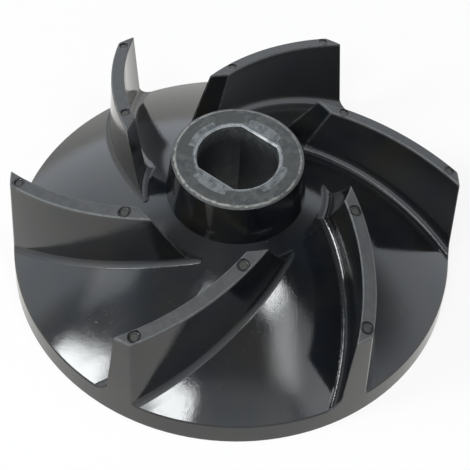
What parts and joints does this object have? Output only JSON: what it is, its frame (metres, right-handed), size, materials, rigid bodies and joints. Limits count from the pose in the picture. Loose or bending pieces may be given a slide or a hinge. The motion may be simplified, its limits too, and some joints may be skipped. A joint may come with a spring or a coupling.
{
  "type": "centrifugal pump impeller",
  "caption": "Open moulded pump impeller with backward-curved vanes on a bell-shaped shroud, and a lobed metal bush with a double-D shaft bore.",
  "frame": {"origin": "centre of the back face, on the shaft axis", "axes": "+Z along the shaft axis, out of the hub's end face; the flats of the bore face +X and -X"},
  "size_m": [0.112, 0.112, 0.0386],
  "materials": {
    "black_plastic": "satin",
    "bush_metal": "satin"
  },
  "bodies": {
    "root": {"impeller": "black_plastic", "bore_insert": "bush_metal"}
  },
  "joints": []
}
